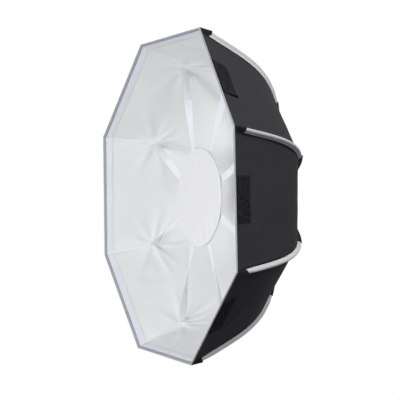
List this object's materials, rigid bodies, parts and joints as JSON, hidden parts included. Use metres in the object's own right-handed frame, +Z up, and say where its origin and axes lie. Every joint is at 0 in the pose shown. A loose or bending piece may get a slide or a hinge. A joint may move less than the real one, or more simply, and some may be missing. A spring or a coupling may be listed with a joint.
{
  "type": "studio softbox",
  "caption": "Folding octagonal studio softbox with a black outside and a white inside, hinged ribs in webbing sleeves, an inner deflector disc on straps and a bayonet hub.",
  "frame": {"origin": "middle of the bayonet mount's seating face, on the softbox's axis", "axes": "+Y back towards the light head, the open front faces -Y, +Z up"},
  "size_m": [0.6174, 0.247, 0.6174],
  "materials": {
    "shell_cloth": "black woven polyester outside, white lining inside",
    "webbing": "grey ribbed webbing",
    "white_cloth": "white woven polyester",
    "rod_fibre": "black glass-fibre rod",
    "black_nylon": "moulded nylon, fine matt",
    "black_anodised": "black anodised, satin",
    "mount_metal": "turned steel, satin",
    "hoop_wire": "spring wire",
    "knob_plastic": "moulded knob"
  },
  "bodies": {
    "mount": {"mount_ring": "mount_metal", "retainer_ring": "mount_metal"},
    "hub": {"hub_ring": "black_anodised", "deflector_disc": "white_cloth", "deflector_hoop": "hoop_wire", "deflector_strap_1": "white_cloth", "deflector_strap_2": "white_cloth", "deflector_strap_3": "white_cloth", "deflector_strap_4": "white_cloth", "deflector_strap_5": "white_cloth", "deflector_strap_6": "white_cloth", "deflector_strap_7": "white_cloth", "deflector_strap_8": "white_cloth"},
    "lock_knob": {"lock_knob": "knob_plastic"},
    "rib_1": {"rod_holder_1": "black_nylon", "rib_rod_1": "rod_fibre", "rib_sleeve_1": "webbing"},
    "rib_2": {"rod_holder_2": "black_nylon", "rib_rod_2": "rod_fibre", "rib_sleeve_2": "webbing"},
    "rib_3": {"rod_holder_3": "black_nylon", "rib_rod_3": "rod_fibre", "rib_sleeve_3": "webbing"},
    "rib_4": {"rod_holder_4": "black_nylon", "rib_rod_4": "rod_fibre", "rib_sleeve_4": "webbing"},
    "rib_5": {"rod_holder_5": "black_nylon", "rib_rod_5": "rod_fibre", "rib_sleeve_5": "webbing"},
    "rib_6": {"rod_holder_6": "black_nylon", "rib_rod_6": "rod_fibre", "rib_sleeve_6": "webbing"},
    "rib_7": {"rod_holder_7": "black_nylon", "rib_rod_7": "rod_fibre", "rib_sleeve_7": "webbing"},
    "rib_8": {"rod_holder_8": "black_nylon", "rib_rod_8": "rod_fibre", "rib_sleeve_8": "webbing"},
    "panel_1a": {"shell_panel_1a": "shell_cloth"},
    "panel_1b": {"shell_panel_1b": "shell_cloth"},
    "panel_2a": {"shell_panel_2a": "shell_cloth"},
    "panel_2b": {"shell_panel_2b": "shell_cloth"},
    "panel_3a": {"shell_panel_3a": "shell_cloth"},
    "panel_3b": {"shell_panel_3b": "shell_cloth"},
    "panel_4a": {"shell_panel_4a": "shell_cloth"},
    "panel_4b": {"shell_panel_4b": "shell_cloth"},
    "panel_5a": {"shell_panel_5a": "shell_cloth"},
    "panel_5b": {"shell_panel_5b": "shell_cloth"},
    "panel_6a": {"shell_panel_6a": "shell_cloth"},
    "panel_6b": {"shell_panel_6b": "shell_cloth"},
    "panel_7a": {"shell_panel_7a": "shell_cloth"},
    "panel_7b": {"shell_panel_7b": "shell_cloth"},
    "panel_8a": {"shell_panel_8a": "shell_cloth"},
    "panel_8b": {"shell_panel_8b": "shell_cloth"}
  },
  "joints": [
    {"name": "hub_turn", "type": "hinge", "parent": "mount", "child": "hub", "pos_m": [0, 0, 0], "axis": [0, 1, 0], "continuous": true},
    {"name": "rib_1_fold", "type": "hinge", "parent": "hub", "child": "rib_1", "pos_m": [0.07206, -0.0193, 0.02985], "axis": [0.3827, 0, -0.9239], "range_deg": [0, 50], "deforming": ["shell_panel_1a", "shell_panel_1b", "shell_panel_2a", "shell_panel_2b", "shell_panel_3a", "shell_panel_3b", "shell_panel_4a", "shell_panel_4b", "shell_panel_5a", "shell_panel_5b", "shell_panel_6a", "shell_panel_6b", "shell_panel_7a", "shell_panel_7b", "shell_panel_8a", "shell_panel_8b", "deflector_strap_1", "deflector_strap_2", "deflector_strap_3", "deflector_strap_4", "deflector_strap_5", "deflector_strap_6", "deflector_strap_7", "deflector_strap_8"]},
    {"name": "rib_2_fold", "type": "hinge", "parent": "hub", "child": "rib_2", "pos_m": [0.02985, -0.0193, 0.07206], "axis": [0.9239, 0, -0.3827], "range_deg": [0, 50]},
    {"name": "rib_3_fold", "type": "hinge", "parent": "hub", "child": "rib_3", "pos_m": [-0.02985, -0.0193, 0.07206], "axis": [0.9239, 0, 0.3827], "range_deg": [0, 50]},
    {"name": "rib_4_fold", "type": "hinge", "parent": "hub", "child": "rib_4", "pos_m": [-0.07206, -0.0193, 0.02985], "axis": [0.3827, 0, 0.9239], "range_deg": [0, 50]},
    {"name": "rib_5_fold", "type": "hinge", "parent": "hub", "child": "rib_5", "pos_m": [-0.07206, -0.0193, -0.02985], "axis": [-0.3827, 0, 0.9239], "range_deg": [0, 50]},
    {"name": "rib_6_fold", "type": "hinge", "parent": "hub", "child": "rib_6", "pos_m": [-0.02985, -0.0193, -0.07206], "axis": [-0.9239, 0, 0.3827], "range_deg": [0, 50]},
    {"name": "rib_7_fold", "type": "hinge", "parent": "hub", "child": "rib_7", "pos_m": [0.02985, -0.0193, -0.07206], "axis": [-0.9239, 0, -0.3827], "range_deg": [0, 50]},
    {"name": "rib_8_fold", "type": "hinge", "parent": "hub", "child": "rib_8", "pos_m": [0.07206, -0.0193, -0.02985], "axis": [-0.3827, 0, -0.9239], "range_deg": [0, 50]},
    {"name": "panel_1a_pleat", "type": "hinge", "parent": "rib_1", "child": "panel_1a", "pos_m": [0.07206, -0.0193, 0.02985], "axis": [0.599, 0.7613, 0.2481], "range_deg": [0, 18.3]},
    {"name": "panel_1b_pleat", "type": "hinge", "parent": "rib_1", "child": "panel_1b", "pos_m": [0.07206, -0.0193, 0.02985], "axis": [-0.599, -0.7613, -0.2481], "range_deg": [0, 18.3]},
    {"name": "panel_2a_pleat", "type": "hinge", "parent": "rib_2", "child": "panel_2a", "pos_m": [0.02985, -0.0193, 0.07206], "axis": [0.2481, 0.7613, 0.599], "range_deg": [0, 18.3]},
    {"name": "panel_2b_pleat", "type": "hinge", "parent": "rib_2", "child": "panel_2b", "pos_m": [0.02985, -0.0193, 0.07206], "axis": [-0.2481, -0.7613, -0.599], "range_deg": [0, 18.3]},
    {"name": "panel_3a_pleat", "type": "hinge", "parent": "rib_3", "child": "panel_3a", "pos_m": [-0.02985, -0.0193, 0.07206], "axis": [-0.2481, 0.7613, 0.599], "range_deg": [0, 18.3]},
    {"name": "panel_3b_pleat", "type": "hinge", "parent": "rib_3", "child": "panel_3b", "pos_m": [-0.02985, -0.0193, 0.07206], "axis": [0.2481, -0.7613, -0.599], "range_deg": [0, 18.3]},
    {"name": "panel_4a_pleat", "type": "hinge", "parent": "rib_4", "child": "panel_4a", "pos_m": [-0.07206, -0.0193, 0.02985], "axis": [-0.599, 0.7613, 0.2481], "range_deg": [0, 18.3]},
    {"name": "panel_4b_pleat", "type": "hinge", "parent": "rib_4", "child": "panel_4b", "pos_m": [-0.07206, -0.0193, 0.02985], "axis": [0.599, -0.7613, -0.2481], "range_deg": [0, 18.3]},
    {"name": "panel_5a_pleat", "type": "hinge", "parent": "rib_5", "child": "panel_5a", "pos_m": [-0.07206, -0.0193, -0.02985], "axis": [-0.599, 0.7613, -0.2481], "range_deg": [0, 18.3]},
    {"name": "panel_5b_pleat", "type": "hinge", "parent": "rib_5", "child": "panel_5b", "pos_m": [-0.07206, -0.0193, -0.02985], "axis": [0.599, -0.7613, 0.2481], "range_deg": [0, 18.3]},
    {"name": "panel_6a_pleat", "type": "hinge", "parent": "rib_6", "child": "panel_6a", "pos_m": [-0.02985, -0.0193, -0.07206], "axis": [-0.2481, 0.7613, -0.599], "range_deg": [0, 18.3]},
    {"name": "panel_6b_pleat", "type": "hinge", "parent": "rib_6", "child": "panel_6b", "pos_m": [-0.02985, -0.0193, -0.07206], "axis": [0.2481, -0.7613, 0.599], "range_deg": [0, 18.3]},
    {"name": "panel_7a_pleat", "type": "hinge", "parent": "rib_7", "child": "panel_7a", "pos_m": [0.02985, -0.0193, -0.07206], "axis": [0.2481, 0.7613, -0.599], "range_deg": [0, 18.3]},
    {"name": "panel_7b_pleat", "type": "hinge", "parent": "rib_7", "child": "panel_7b", "pos_m": [0.02985, -0.0193, -0.07206], "axis": [-0.2481, -0.7613, 0.599], "range_deg": [0, 18.3]},
    {"name": "panel_8a_pleat", "type": "hinge", "parent": "rib_8", "child": "panel_8a", "pos_m": [0.07206, -0.0193, -0.02985], "axis": [0.599, 0.7613, -0.2481], "range_deg": [0, 18.3]},
    {"name": "panel_8b_pleat", "type": "hinge", "parent": "rib_8", "child": "panel_8b", "pos_m": [0.07206, -0.0193, -0.02985], "axis": [-0.599, -0.7613, 0.2481], "range_deg": [0, 18.3]},
    {"name": "lock_knob_turn", "type": "hinge", "parent": "hub", "child": "lock_knob", "pos_m": [0, -0.01504, -0.0905], "axis": [0, 0, -1], "range_deg": [0, 360]}
  ],
  "couplings": [
    {"joint": "rib_2_fold", "follows": "rib_1_fold", "ratio": 1},
    {"joint": "rib_3_fold", "follows": "rib_1_fold", "ratio": 1},
    {"joint": "rib_4_fold", "follows": "rib_1_fold", "ratio": 1},
    {"joint": "rib_5_fold", "follows": "rib_1_fold", "ratio": 1},
    {"joint": "rib_6_fold", "follows": "rib_1_fold", "ratio": 1},
    {"joint": "rib_7_fold", "follows": "rib_1_fold", "ratio": 1},
    {"joint": "rib_8_fold", "follows": "rib_1_fold", "ratio": 1},
    {"joint": "panel_1a_pleat", "follows": "rib_1_fold", "ratio": 0.366},
    {"joint": "panel_1b_pleat", "follows": "rib_1_fold", "ratio": 0.366},
    {"joint": "panel_2a_pleat", "follows": "rib_1_fold", "ratio": 0.366},
    {"joint": "panel_2b_pleat", "follows": "rib_1_fold", "ratio": 0.366},
    {"joint": "panel_3a_pleat", "follows": "rib_1_fold", "ratio": 0.366},
    {"joint": "panel_3b_pleat", "follows": "rib_1_fold", "ratio": 0.366},
    {"joint": "panel_4a_pleat", "follows": "rib_1_fold", "ratio": 0.366},
    {"joint": "panel_4b_pleat", "follows": "rib_1_fold", "ratio": 0.366},
    {"joint": "panel_5a_pleat", "follows": "rib_1_fold", "ratio": 0.366},
    {"joint": "panel_5b_pleat", "follows": "rib_1_fold", "ratio": 0.366},
    {"joint": "panel_6a_pleat", "follows": "rib_1_fold", "ratio": 0.366},
    {"joint": "panel_6b_pleat", "follows": "rib_1_fold", "ratio": 0.366},
    {"joint": "panel_7a_pleat", "follows": "rib_1_fold", "ratio": 0.366},
    {"joint": "panel_7b_pleat", "follows": "rib_1_fold", "ratio": 0.366},
    {"joint": "panel_8a_pleat", "follows": "rib_1_fold", "ratio": 0.366},
    {"joint": "panel_8b_pleat", "follows": "rib_1_fold", "ratio": 0.366}
  ]
}
